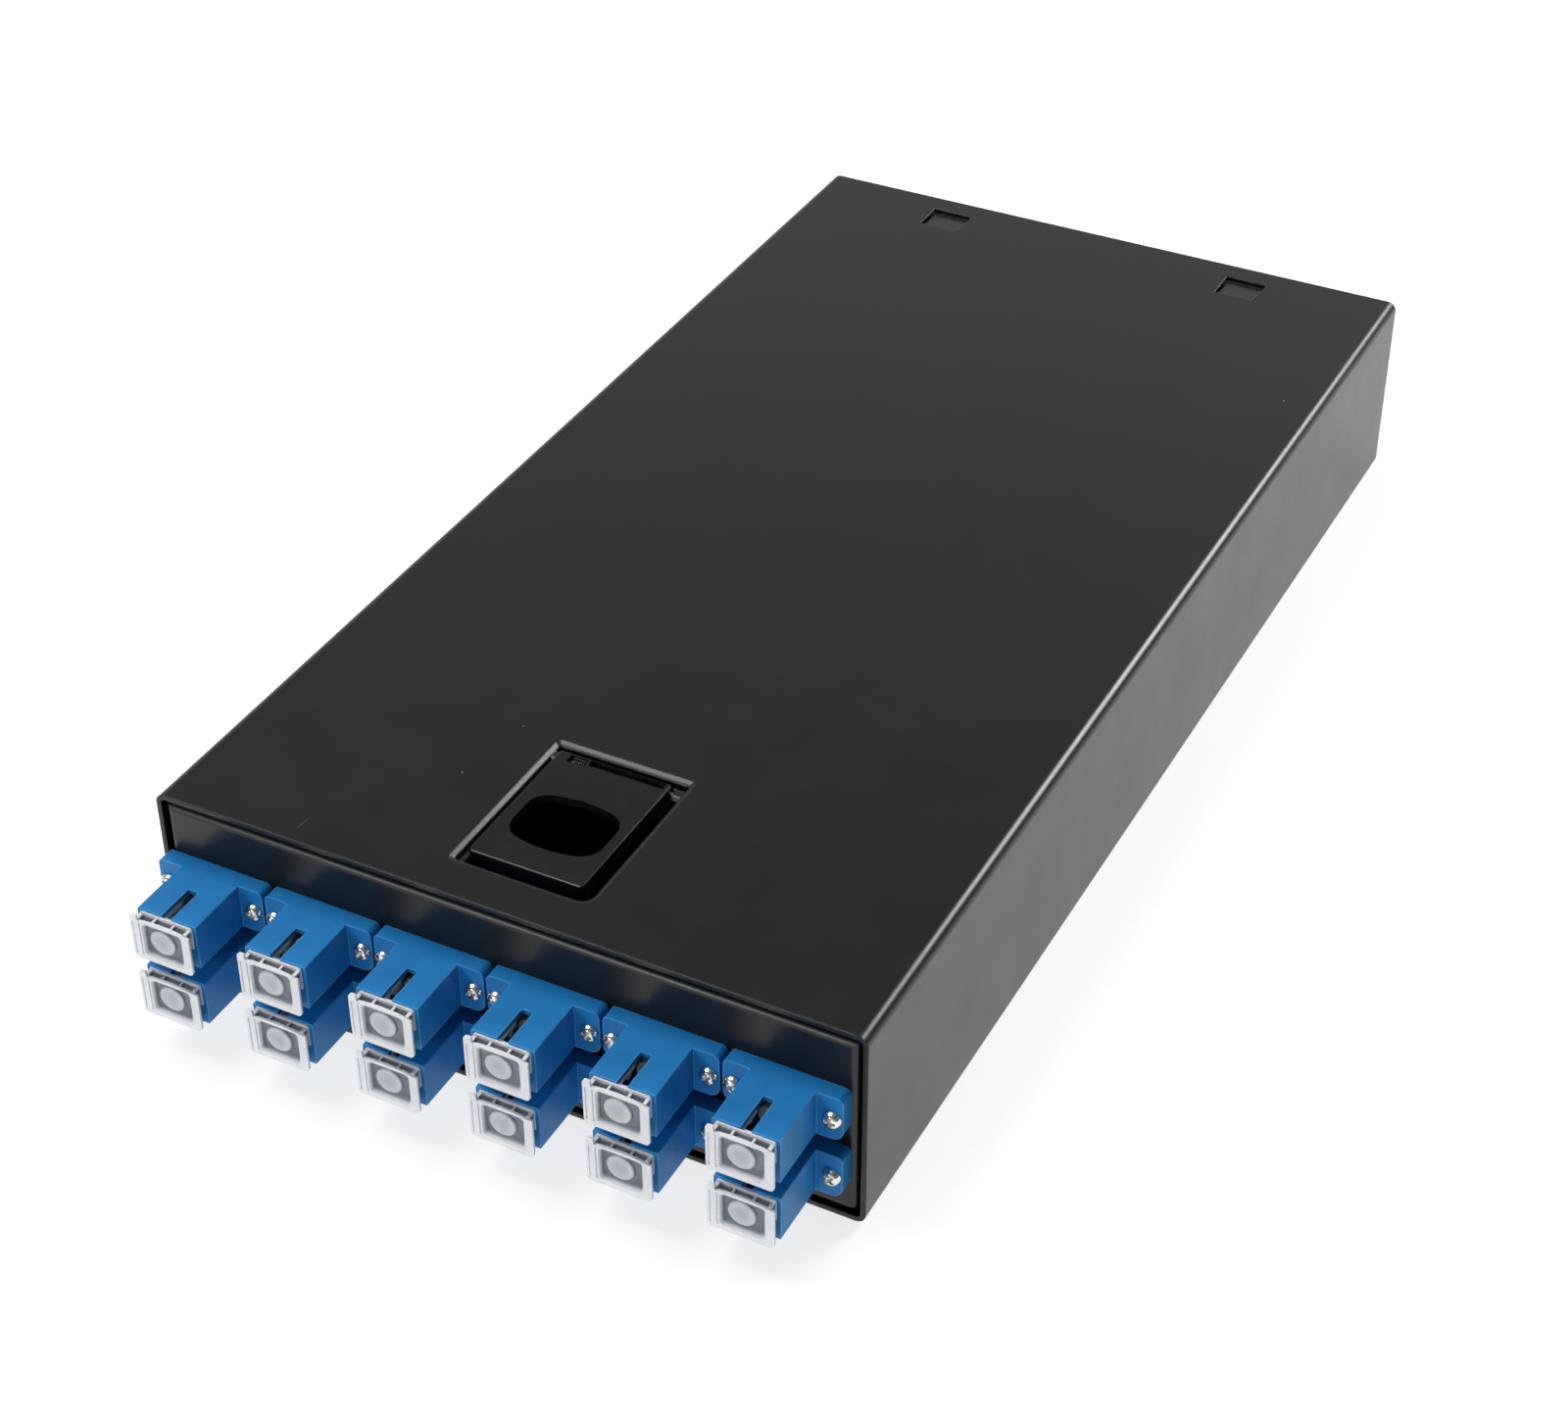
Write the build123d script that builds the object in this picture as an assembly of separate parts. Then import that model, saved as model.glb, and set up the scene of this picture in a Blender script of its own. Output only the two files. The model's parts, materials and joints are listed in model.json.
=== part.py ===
from build123d import *
import math
import os

os.makedirs("parts", exist_ok=True)

# ---------------------------------------------------------------------------
# Drawer-type fibre splice box with twelve flanged duplex-height ports.
# Millimetres. Origin at the centre of the underside of the outer sleeve,
# X to the right seen from the front, Y towards the back, Z up.
# ---------------------------------------------------------------------------

# outer sleeve, a folded steel tube open at both ends
box_width = 140.0
box_height = 42.0
box_length = 268.6
sheet = 1.0
sleeve_bend = 2.0            # outer bend radius
front = -box_length / 2
rear = box_length / 2

# drawer tray, folded from the same sheet
tray_half_width = 68.4
tray_floor = 1.6             # underside of the tray
panel_top = 40.2
tray_bend = 1.5
panel_face = front + 0.1     # front face of the drawer's panel
tray_rear = rear - 2.5
side_height = 34.0
rear_height = 39.7
return_depth = 7.6

# ports: two rows of six
columns = 6
column_pitch = 22.78
array_shift = -0.95
row_z = (25.05, 12.0)

# one flanged adapter
body_w = 12.4
body_h = 9.3
flange_w = 22.2
flange_t = 3.1
front_reach = 15.75
rear_reach = 12.65
port_w = 9.1
port_h = 7.5
key_w = 2.1
key_len = 8.0
screw_x = 9.15
thread_r = 1.0              # tapped straight into the panel
head_d = 3.45
head_h = 1.3
shank_d = 2.0
shank_len = 6.0

# dust cap in the front of each port
cap_gap = 0.06
cap_front = 2.2              # how far the cap stands ahead of the adapter
cap_plate = 0.5
plug_w = 8.8
plug_h = 7.2
plug_len = 5.9

# recess for the latch in the top of the sleeve
recess_x = (-13.5, 12.75)    # its upright walls, the rolled edge is wider
recess_y = (front + 9.3, front + 44.75)
recess_roll = 1.3
recess_depth = 2.0
window_x = (-12.6, 12.4)
window_y = (front + 10.3, front + 44.3)

# latch flap and its hinge
flap_x = (-12.5, 10.3)
flap_y = (front + 11.7, front + 43.3)
flap_top = 42.0
flap_t = 1.6
hinge_y = front + 42.4
hinge_z = 40.5
pin_d = 1.2
hole_cx = -0.9
hole_cy = front + 24.9
hole_w = 18.2
hole_l = 14.4

# lanced tabs near the rear of the top
tab_slots = ((-40.8, -31.4), (32.0, 41.3))
slot_y = (front + 255.3, front + 263.4)
tab_drop = 0.8
tab_gap = 1.6                # open slot behind the tab's end

# strike under the latch, fixed to the drawer
strike_top = 38.5
strike_rear = front + 25.0

# cable glands in the rear wall
gland_x = (-34.0, 34.0)
gland_z = 15.5
gland_thread_d = 12.0
gland_af = 15.0


# --------------------------------------------------------------------- helpers
def bx(x0, x1, y0, y1, z0, z1):
    return Pos((x0 + x1) / 2, (y0 + y1) / 2, (z0 + z1) / 2) * Box(
        abs(x1 - x0), abs(y1 - y0), abs(z1 - z0)
    )


def rod(axis, a0, a1, u, v, r):
    """Round bar from a0 to a1 along the named axis."""
    length = a1 - a0
    mid = (a0 + a1) / 2
    if axis == "x":
        return Pos(mid, u, v) * Rot(0, 90, 0) * Cylinder(r, length)
    if axis == "y":
        return Pos(u, mid, v) * Rot(90, 0, 0) * Cylinder(r, length)
    return Pos(u, v, mid) * Cylinder(r, length)


def tube(axis, a0, a1, u, v, r_out, r_in):
    return rod(axis, a0, a1, u, v, r_out) - rod(axis, a0 - 1, a1 + 1, u, v, r_in)


def hexbar_y(y0, y1, x, z, af, turn=0):
    """Hexagonal bar along Y, flats facing X when turn is 0."""
    r = af / math.sqrt(3)
    prof = Plane(origin=(x, y0, z), x_dir=(1, 0, 0), z_dir=(0, -1, 0)) * RegularPolygon(
        r, 6, rotation=30 + turn
    )
    return extrude(prof, amount=-(y1 - y0))


def hexbar_z(z0, z1, x, y, af):
    r = af / math.sqrt(3)
    prof = Plane(origin=(x, y, z0)) * RegularPolygon(r, 6)
    return extrude(prof, amount=z1 - z0)


def rr_wire(x0, x1, y0, y1, z, radii):
    """Face with rounded corners: radii for (x0,y0) (x1,y0) (x1,y1) (x0,y1)."""
    r00, r10, r11, r01 = radii
    k = math.sqrt(0.5)

    def arc(cx, cy, r, a):
        t = math.radians(a)
        return (cx + r * math.cos(t), cy + r * math.sin(t), z)

    pts = []
    edges = []
    c = [
        (x0 + r00, y0 + r00, r00, 180),
        (x1 - r10, y0 + r10, r10, 270),
        (x1 - r11, y1 - r11, r11, 0),
        (x0 + r01, y1 - r01, r01, 90),
    ]
    for cx, cy, r, a in c:
        pts.append((arc(cx, cy, r, a), arc(cx, cy, r, a + 45), arc(cx, cy, r, a + 90)))
    for i in range(4):
        p0, p1, p2 = pts[i]
        edges.append(ThreePointArc(p0, p1, p2))
        edges.append(Line(p2, pts[(i + 1) % 4][0]))
    return make_face(Wire(edges))


def stack(sections):
    """Solid through a stack of rounded rectangles, straight between them."""
    return loft(sections, ruled=True)


def one(shape, name):
    solids = shape.solids()
    assert len(solids) == 1, (name, len(solids))
    return solids[0]


def grp(shapes, name):
    solids = []
    for s in shapes:
        solids += list(s.solids())
    c = Compound(children=solids)
    c.label = name
    return c


def save(shape, name):
    shape.label = name
    export_step(shape, "parts/" + name + ".step")


# ------------------------------------------------------------------- the sleeve
outer = bx(-box_width / 2, box_width / 2, front, rear, 0, box_height)
outer = fillet(outer.edges().filter_by(Axis.Y), sleeve_bend)
inner = bx(
    -box_width / 2 + sheet, box_width / 2 - sheet, front - 1, rear + 1, sheet, box_height - sheet
)
inner = fillet(inner.edges().filter_by(Axis.Y), sleeve_bend - sheet)
sleeve = outer - inner

# butt seam of the folded tube, a shallow line along the underside
sleeve -= bx(29.8, 30.2, front - 1, rear + 1, -0.5, 0.3)


def recess(dx, z):
    r = 0.5 + 0.4 * max(dx, 0.0)
    return rr_wire(
        recess_x[0] - dx, recess_x[1] + dx, recess_y[0] - dx, recess_y[1] + dx, z,
        (r, 1.9 + r, r, r),
    )


T = box_height
R = recess_roll
pan = stack([recess(1.05, T - 0.9), recess(0.95, T - 1.6), recess(0.8, T - 2.2), recess(0.3, T - 2.75), recess(-0.15, T - 3.0)])
# rolled edge: a shallow lead-in, a slope of about 30 degrees, then the upright wall
void = stack(
    [
        recess(R, T + 0.25), recess(R, T), recess(R - 0.12, T - 0.015), recess(R - 0.30, T - 0.07), recess(R - 0.62, T - 0.25),
        recess(R - 0.95, T - 0.44), recess(R - 1.12, T - 0.60), recess(R - 1.22, T - 0.85), recess(0.0, T - 2.0),
    ]
)
sleeve = sleeve + pan - void
sleeve -= bx(window_x[0], window_x[1], window_y[0], window_y[1], T - 3.5, T - 1.0)

# two lugs turned up from the recess carry the hinge pin
for x0, x1 in ((-13.7, -12.75), (11.15, 12.95)):
    lug = bx(x0, x1, hinge_y - 1.5, hinge_y + 1.5, T - 3.0, T - 0.65)
    lug = fillet(lug.edges().filter_by(Axis.X).group_by(Axis.Z)[-1], 1.0)
    sleeve += lug
sleeve -= rod("x", -13.95, 12.75, hinge_y, hinge_z, pin_d / 2 + 0.02)

# lanced tabs: cut on three sides, joggled down, still joined at the front edge
for x0, x1 in tab_slots:
    y0, y1 = slot_y
    sleeve -= bx(x0, x1, y0, y1, T - 2, T + 1)
    y2 = y1 - tab_gap
    prof = Plane.YZ * Polyline(
        (y0 - 0.6, T), (y0, T), (y0 + 0.5, T - 0.12), (y0 + 1.3, T - 0.46), (y2 - 0.2, T - tab_drop), (y2, T - tab_drop - 0.1),
        (y2, T - tab_drop - 0.9), (y0 + 1.0, T - 1.36), (y0 - 0.2, T - sheet), (y0 - 0.6, T - sheet), close=True,
    )
    tab = extrude(make_face(prof), amount=(x1 - x0) - 1.1)
    tab = tab.moved(Location((x0 + 0.6 - tab.bounding_box().min.X, 0, 0)))
    sleeve += tab
save(one(sleeve, "outer_sleeve"), "outer_sleeve")

# --------------------------------------------------------------------- the latch
pin = rod("x", -13.9, 12.7, hinge_y, hinge_z, pin_d / 2)
pin = chamfer(pin.edges(), 0.15)
save(one(pin, "latch_pin"), "latch_pin")

flap = stack(
    [
        rr_wire(flap_x[0], flap_x[1], flap_y[0], flap_y[1], flap_top - 2.6, (0.9, 0.9, 0.6, 0.6)),
        rr_wire(flap_x[0], flap_x[1], flap_y[0], flap_y[1], flap_top - 0.25, (0.9, 0.9, 0.6, 0.6)),
        rr_wire(flap_x[0] + 0.07, flap_x[1] - 0.07, flap_y[0] + 0.07, flap_y[1] - 0.07, flap_top - 0.07, (0.85, 0.85, 0.5, 0.5)),
        rr_wire(flap_x[0] + 0.25, flap_x[1] - 0.25, flap_y[0] + 0.25, flap_y[1] - 0.25, flap_top, (0.8, 0.8, 0.5, 0.5)),
    ]
)
# hollow underneath, leaving a skirt on three sides
flap -= bx(flap_x[0] + 1.1, flap_x[1] - 1.1, flap_y[0] + 1.1, hinge_y - 2.4, flap_top - 4, flap_top - flap_t)
flap -= bx(flap_x[0] - 1, flap_x[1] + 1, hinge_y - 2.4, flap_y[1] + 1, flap_top - 4, flap_top - flap_t)
# hinge barrel
flap += rod("x", flap_x[0], flap_x[1], hinge_y, hinge_z, 1.35)
# hook tongue that drops towards the slot of the strike
tongue = bx(hole_cx - 4.5, hole_cx + 4.5, front + 14.0, front + 15.6, strike_top + 0.35, flap_top - 1.0)
flap += tongue
# finger hole: straight left and right, bowed towards the front and the back
hx, hy = hole_w / 2, hole_l / 2
side, corner_r, turn = 2.3, 4.27, math.radians(75.5)
cx0 = hx - corner_r
kx, ky = cx0 + corner_r * math.cos(turn), side + corner_r * math.sin(turn)
mx, my = cx0 + corner_r * math.cos(turn / 2), side + corner_r * math.sin(turn / 2)
e = [
    ThreePointArc((hx, -side), (mx, -my), (kx, -ky)),
    ThreePointArc((kx, -ky), (0, -hy), (-kx, -ky)),
    ThreePointArc((-kx, -ky), (-mx, -my), (-hx, -side)),
    Line((-hx, -side), (-hx, side)),
    ThreePointArc((-hx, side), (-mx, my), (-kx, ky)),
    ThreePointArc((-kx, ky), (0, hy), (kx, ky)),
    ThreePointArc((kx, ky), (mx, my), (hx, side)),
    Line((hx, side), (hx, -side)),
]
hole_face = make_face(Wire(e)).moved(Location((hole_cx, hole_cy, 36)))
flap -= extrude(hole_face, amount=10)
# long groove and short spring pocket over the hinge, a thin rib between them
flap -= bx(-5.9, 9.4, hinge_y - 0.95, hinge_y + 0.75, hinge_z + 0.35, flap_top + 1)
flap -= bx(-10.0, -6.4, hinge_y - 1.6, hinge_y + 1.6, hinge_z - 2.0, flap_top + 1)
flap += bx(-10.2, -6.2, hinge_y + 0.52, hinge_y + 0.88, flap_top - 0.5, flap_top - 0.1)
flap -= rod("x", flap_x[0] - 1, flap_x[1] + 1, hinge_y, hinge_z, pin_d / 2 + 0.06)
save(one(flap, "latch_flap"), "latch_flap")

# torsion spring round the pin in the short pocket
wire_r = 0.14
coil_r = 0.79
pitch = 0.46
turns = 5
helix = Helix(pitch, pitch * turns, coil_r)
# one wire: long leg under the flap, coil, short leg towards the back
p0, d0 = helix @ 0, helix % 0
p1, d1 = helix @ 1, helix % 1
path = Wire([Line(p0 - d0 * 5.2, p0), helix, Line(p1, p1 + d1 * 1.7)])
prof = Plane(origin=p0 - d0 * 5.2, z_dir=d0) * Circle(wire_r)
spring = sweep(prof, path=path, is_frenet=True)
spring = spring.moved(Location((-9.3, hinge_y, hinge_z), (0, 90, 0)))
save(one(spring, "latch_spring"), "latch_spring")

# --------------------------------------------------------------------- the drawer
xs = [array_shift + (i - (columns - 1) / 2) * column_pitch for i in range(columns)]
ports = [(x, z) for z in row_z for x in xs]

tw = tray_half_width
shell = bx(-tw, tw, panel_face, tray_rear, tray_floor, panel_top)
shell = fillet(
    shell.edges().filter_by(Axis.Z) + shell.edges().filter_by(Axis.Y).group_by(Axis.Z)[0]
    + shell.edges().filter_by(Axis.X).group_by(Axis.Y)[0] + shell.edges().filter_by(Axis.X).group_by(Axis.Z)[0].group_by(Axis.Y)[-1],
    tray_bend,
)
hollow = bx(-tw + sheet, tw - sheet, panel_face + sheet, tray_rear - sheet, tray_floor + sheet, panel_top - sheet)
hollow = fillet(
    hollow.edges().filter_by(Axis.Z) + hollow.edges().filter_by(Axis.Y).group_by(Axis.Z)[0]
    + hollow.edges().filter_by(Axis.X).group_by(Axis.Y)[0] + hollow.edges().filter_by(Axis.X).group_by(Axis.Z)[0].group_by(Axis.Y)[-1],
    tray_bend - sheet,
)
tray = shell - hollow
# top return only as deep as the bend needs, side walls lower than the panel
tray -= bx(-tw - 1, tw + 1, panel_face + return_depth, tray_rear + 1, rear_height, panel_top + 1)
side_cut = Plane.YZ * Polyline(
    (panel_face + return_depth, panel_top + 1), (panel_face + return_depth, panel_top - 1.5),
    (panel_face + return_depth + 5, side_height), (tray_rear - sheet - 6, side_height),
    (tray_rear - sheet - 2.5, rear_height), (tray_rear - sheet - 2.5, panel_top + 1), close=True,
)
tray -= extrude(make_face(side_cut), amount=tw + 5, both=True)
# cut-outs for the adapters and their screws
for x, z in ports:
    tray -= bx(x - body_w / 2 - 0.2, x + body_w / 2 + 0.2, panel_face - 1, panel_face + 2, z - body_h / 2 - 0.12, z + body_h / 2 + 0.12)
    for s in (-1, 1):
        tray -= rod("y", panel_face - 1, panel_face + 2, x + s * screw_x, z, thread_r)
        # room for the screw tip beside the side wall
        tray -= rod("y", panel_face + sheet, panel_face + sheet + 2.6, x + s * screw_x, z, thread_r + 0.15)
# holes for the two glands
for x in gland_x:
    tray -= rod("y", tray_rear - 2, tray_rear + 1, x, gland_z, gland_thread_d / 2 + 0.15)
# holes for the strike rivets in the top return
rivet_x = (-9.5, 8.5)
rivet_y = panel_face + 4.4
for x in rivet_x:
    tray -= rod("z", panel_top - 2, panel_top + 1, x, rivet_y, 1.2)

# strike: a joggled plate, its rear edge lies under the finger hole
st = Plane.YZ * Polyline(
    (panel_face + sheet + 0.8, panel_top - sheet), (panel_face + return_depth - 0.4, panel_top - sheet),
    (panel_face + return_depth + 0.5, strike_top), (strike_rear, strike_top), (strike_rear, strike_top - sheet),
    (panel_face + return_depth + 0.1, strike_top - sheet), (panel_face + return_depth - 0.8, panel_top - 2 * sheet),
    (panel_face + sheet + 0.8, panel_top - 2 * sheet), close=True,
)
strike = extrude(make_face(st), amount=24.0).moved(Location((-12.9, 0, 0)))
strike -= bx(hole_cx - 5.2, hole_cx + 5.2, front + 13.3, front + 17.0, 30, 45)
# the left part stops short, only the right part reaches under the finger hole
strike -= bx(-14, -0.3, front + 18.6, strike_rear + 1, 30, 45)
for x in rivet_x:
    strike -= rod("z", 35, 42, x, rivet_y, 1.2)
save(one(strike, "latch_strike"), "latch_strike")

rivets = []
for x in rivet_x:
    r = rod("z", panel_top - 2 * sheet, panel_top, x, rivet_y, 1.2)
    head = rod("z", panel_top - 2 * sheet - 0.8, panel_top - 2 * sheet, x, rivet_y, 2.1)
    head = fillet(head.edges().group_by(Axis.Z)[0], 0.6)
    rivets.append(one(r + head, "rivet"))
save(grp(rivets, "strike_rivets"), "strike_rivets")

# ------------------------------------------------------------------ splice tray
cas_x = (-56.0, 56.0)
cas_y = (-62.0, 62.0)
cas_z = 6.6
cas_h = 12.0
post_xy = [(-46.0, -52.0), (46.0, -52.0), (-46.0, 52.0), (46.0, 52.0)]
posts = []
for x, y in post_xy:
    # floor of the tray carries pressed standoffs for the cassette screws
    p = tube("z", tray_floor + sheet, cas_z, x, y, 3.6, 1.3)
    posts.append(one(p, "standoff"))
    tray -= rod("z", tray_floor - 1, tray_floor + sheet + 1, x, y, 1.3)
save(grp(posts, "cassette_standoffs"), "cassette_standoffs")

# clamp bracket stands on the floor near the glands, two bays
br_y = (84.0, 96.0)
bracket = bx(-44, 44, br_y[0], br_y[1], tray_floor + sheet, tray_floor + 2 * sheet + 0.2)
for x in gland_x:
    saddle = bx(x - 7, x + 7, br_y[0] + 2, br_y[1] - 2, tray_floor + sheet, 10.6)
    saddle -= rod("y", br_y[0] - 5, br_y[1] + 5, x, gland_z, 5.0)
    bracket += saddle
    bracket -= rod("z", 0, 20, x - 9.6, sum(br_y) / 2, 1.3)
    bracket -= rod("z", 0, 20, x + 9.6, sum(br_y) / 2, 1.3)
    tray -= rod("z", 0, tray_floor + sheet + 1, x - 9.6, sum(br_y) / 2, 1.3)
    tray -= rod("z", 0, tray_floor + sheet + 1, x + 9.6, sum(br_y) / 2, 1.3)
save(one(bracket, "cable_clamp_base"), "cable_clamp_base")

for side, x in (("left", gland_x[0]), ("right", gland_x[1])):
    strap = tube("y", br_y[0] + 2, br_y[1] - 2, x, gland_z, 6.0, 5.0)
    strap = strap & bx(x - 8, x + 8, br_y[0], br_y[1], gland_z - 1.0, gland_z + 8)
    for s in (-1, 1):
        strap += bx(x + s * 5.0, x + s * 6.0, br_y[0] + 2, br_y[1] - 2, tray_floor + 2 * sheet + 1.2, gland_z - 0.9) - bx(x - 5, x + 5, -200, 200, 0, 30) - bx(x - 7.2, x + 7.2, br_y[0], br_y[1], 0, 10.65)
        strap += bx(x + s * 5.0, x + s * 12.2, br_y[0] + 2, br_y[1] - 2, 10.65, 11.65) - rod("y", 0, 200, x, gland_z, 5.0)
        strap += bx(x + s * 11.2, x + s * 12.2, br_y[0] + 2, br_y[1] - 2, 10.65, 11.65)
        strap -= rod("z", 0, 40, x + s * 9.6, sum(br_y) / 2, 1.3)
    save(one(strap, "cable_strap_" + side), "cable_strap_" + side)

clamp_screws = []
for x in gland_x:
    for s in (-1, 1):
        cx = x + s * 9.6
        cy = sum(br_y) / 2
        sc = rod("z", tray_floor, 11.65, cx, cy, 1.25)
        hd = rod("z", 11.65, 13.6, cx, cy, 2.5)
        hd = fillet(hd.edges().group_by(Axis.Z)[-1], 0.9)
        sc = sc + hd
        sc -= bx(cx - 1.5, cx + 1.5, cy - 0.35, cy + 0.35, 12.6, 14)
        sc -= bx(cx - 0.35, cx + 0.35, cy - 1.5, cy + 1.5, 12.6, 14)
        clamp_screws.append(one(sc, "clamp_screw"))
save(grp(clamp_screws, "clamp_screws"), "clamp_screws")

# earth stud in the floor with its nut
es = (54.0, 104.0)
tray -= rod("z", 0, tray_floor + sheet + 1, es[0], es[1], 2.0)
stud = rod("z", tray_floor, 14.0, es[0], es[1], 2.0)
stud += rod("z", tray_floor + sheet, tray_floor + sheet + 0.8, es[0], es[1], 4.0)
stud = chamfer(stud.edges().group_by(Axis.Z)[-1], 0.4)
save(one(stud, "earth_stud"), "earth_stud")
nut = hexbar_z(tray_floor + sheet + 0.8, tray_floor + sheet + 4.0, es[0], es[1], 7.0) - rod("z", 0, 20, es[0], es[1], 2.02)
save(one(nut, "earth_nut"), "earth_nut")

save(one(tray, "drawer_tray"), "drawer_tray")

# cassette: moulded dish with two fibre spools and entry slots
r_c = 16.0


def rrz(x0, x1, y0, y1, z0, z1, r):
    b = bx(x0, x1, y0, y1, z0, z1)
    return fillet(b.edges().filter_by(Axis.Z), r)


cas = rrz(*cas_x, *cas_y, cas_z, cas_z + cas_h, r_c)
cas -= rrz(cas_x[0] + 1.5, cas_x[1] - 1.5, cas_y[0] + 1.5, cas_y[1] - 1.5, cas_z + 1.5, cas_z + cas_h + 1, r_c - 1.5)
for sy_ in (-1, 1):
    cy = sy_ * 30.0
    cas += tube("z", cas_z + 0.5, cas_z + cas_h - 2.0, -20.0, cy, 19.0, 17.6)
    for a in range(4):
        t = math.radians(45 + 90 * a)
        fx, fy = -20.0 + 20.5 * math.cos(t), cy + 20.5 * math.sin(t)
        cas += bx(fx - 2.6, fx + 2.6, fy - 2.6, fy + 2.6, cas_z + cas_h - 3.2, cas_z + cas_h - 2.0)
for x in (-40.0, 40.0):
    for y in (cas_y[0], cas_y[1]):
        cas -= bx(x - 4.0, x + 4.0, y - 3, y + 3, cas_z + 5.0, cas_z + cas_h + 1)
for x, y in post_xy:
    cas += rod("z", cas_z, cas_z + 3.0, x, y, 4.2)
    cas -= rod("z", cas_z - 1, cas_z + 5.0, x, y, 1.3)
save(one(cas, "splice_cassette"), "splice_cassette")

# comb that holds the splice protectors, twelve channels
cmb_x = (14.0, 50.0)
cmb_y = (-22.0, 22.0)
comb = bx(cmb_x[0], cmb_x[1], cmb_y[0], cmb_y[1], cas_z + 1.5, cas_z + 3.0)
n_fin = 13
step = (cmb_x[1] - cmb_x[0] - 1.0) / (n_fin - 1)
for i in range(n_fin):
    x = cmb_x[0] + 0.5 + i * step
    for y0, y1 in ((cmb_y[0], cmb_y[0] + 10), (-5, 5), (cmb_y[1] - 10, cmb_y[1])):
        comb += bx(x - 0.45, x + 0.45, y0, y1, cas_z + 1.6, cas_z + 8.0)
save(one(comb, "splice_comb"), "splice_comb")

cas_screws = []
for x, y in post_xy:
    sc = rod("z", tray_floor, cas_z + 3.0, x, y, 1.25)
    hd = rod("z", cas_z + 3.0, cas_z + 4.9, x, y, 2.6)
    hd = fillet(hd.edges().group_by(Axis.Z)[-1], 0.9)
    sc = sc + hd
    sc -= bx(x - 1.5, x + 1.5, y - 0.35, y + 0.35, cas_z + 4.0, cas_z + 6)
    sc -= bx(x - 0.35, x + 0.35, y - 1.5, y + 1.5, cas_z + 4.0, cas_z + 6)
    cas_screws.append(one(sc, "cassette_screw"))
save(grp(cas_screws, "cassette_screws"), "cassette_screws")

# clear lid resting on the rim, a lip drops inside it
lid = rrz(cas_x[0], cas_x[1], cas_y[0], cas_y[1], cas_z + cas_h, cas_z + cas_h + 1.3, r_c)
lip = rrz(cas_x[0] + 1.9, cas_x[1] - 1.9, cas_y[0] + 1.9, cas_y[1] - 1.9, cas_z + cas_h - 1.2, cas_z + cas_h + 0.2, r_c - 1.9)
lip -= rrz(cas_x[0] + 3.1, cas_x[1] - 3.1, cas_y[0] + 3.1, cas_y[1] - 3.1, cas_z + cas_h - 2, cas_z + cas_h, r_c - 3.1)
lid = lid + lip
lid -= rod("z", 0, 60, 0, cas_y[0] + 0.5, 5.0)
lid -= rod("z", 0, 60, 0, cas_y[1] - 0.5, 5.0)
save(one(lid, "cassette_lid"), "cassette_lid")

# ------------------------------------------------------------------ cable glands
wall_out = tray_rear
wall_in = tray_rear - sheet
for side, x in (("left", gland_x[0]), ("right", gland_x[1])):
    z = gland_z
    # body: thread through the wall, hexagon outside, threaded neck for the dome
    g = rod("y", wall_in - 7.5, wall_out, x, z, gland_thread_d / 2)
    g += hexbar_y(wall_out + 0.0, wall_out + 5.0, x, z, gland_af)
    g += rod("y", wall_out + 5.0, wall_out + 10.0, x, z, 5.6)
    g -= rod("y", wall_in - 9, wall_out + 12, x, z, 3.6)
    g -= rod("y", wall_out + 4.5, wall_out + 12, x, z, 4.6)
    save(one(g, "gland_body_" + side), "gland_body_" + side)
    ln = hexbar_y(wall_in - 4.5, wall_in, x, z, 16.0) - rod("y", wall_in - 6, wall_in + 1, x, z, gland_thread_d / 2 + 0.02)
    save(one(ln, "gland_locknut_" + side), "gland_locknut_" + side)
    seal = tube("y", wall_out + 4.5, wall_out + 10.6, x, z, 4.55, 3.0)
    save(one(seal, "gland_seal_" + side), "gland_seal_" + side)
    dome = hexbar_y(wall_out + 5.4, wall_out + 11.0, x, z, gland_af - 1.0)
    cone = Pos(x, wall_out + 12.6, z) * Rot(-90, 0, 0) * Cone(6.9, 4.9, 3.2)
    dome = dome + cone
    dome -= rod("y", wall_out + 5, wall_out + 11.0, x, z, 5.65)
    dome -= rod("y", wall_out + 5, wall_out + 20, x, z, 3.5)
    save(one(dome, "gland_dome_" + side), "gland_dome_" + side)

# --------------------------------------------------------------------- adapters
# local frame: y = 0 on the panel face, -y towards the front
P = Plane.XZ


def xz_round(w, z0, z1, y0, y1, r_top, r_bot):
    """Plate in XZ with its own top and bottom corner radii."""
    f = rr_wire(-w / 2, w / 2, z0, z1, 0, (r_bot, r_bot, r_top, r_top))
    s = extrude(f, amount=abs(y1 - y0))
    # sketch y becomes z, extrusion runs towards -y from y1
    s = s.moved(Location((0, 0, 0), (90, 0, 0)))
    return s.moved(Location((0, y1, 0)))


hb = body_h / 2
housing = xz_round(flange_w, -hb, hb, -flange_t, 0, 1.1, 2.3)
core = bx(-body_w / 2, body_w / 2, -front_reach, rear_reach, -hb, hb)
core = fillet(core.edges().filter_by(Axis.Y), 0.3)
core = chamfer(core.edges().group_by(Axis.Y)[0] + core.edges().group_by(Axis.Y)[-1], 0.2)
housing = housing + core
housing -= bx(-port_w / 2, port_w / 2, -front_reach - 1, rear_reach + 1, -port_h / 2, port_h / 2)
for y0, y1 in ((-front_reach - 1, -front_reach + key_len), (rear_reach - key_len, rear_reach + 1)):
    key = bx(-key_w / 2, key_w / 2, y0, y1, 0, hb + 1)
    housing -= key
for s in (-1, 1):
    housing -= rod("y", -10, 5, s * screw_x, 0, shank_d / 2 + 0.1)
# light rounding round the front edge of the ears
housing = one(housing, "housing")

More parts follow.
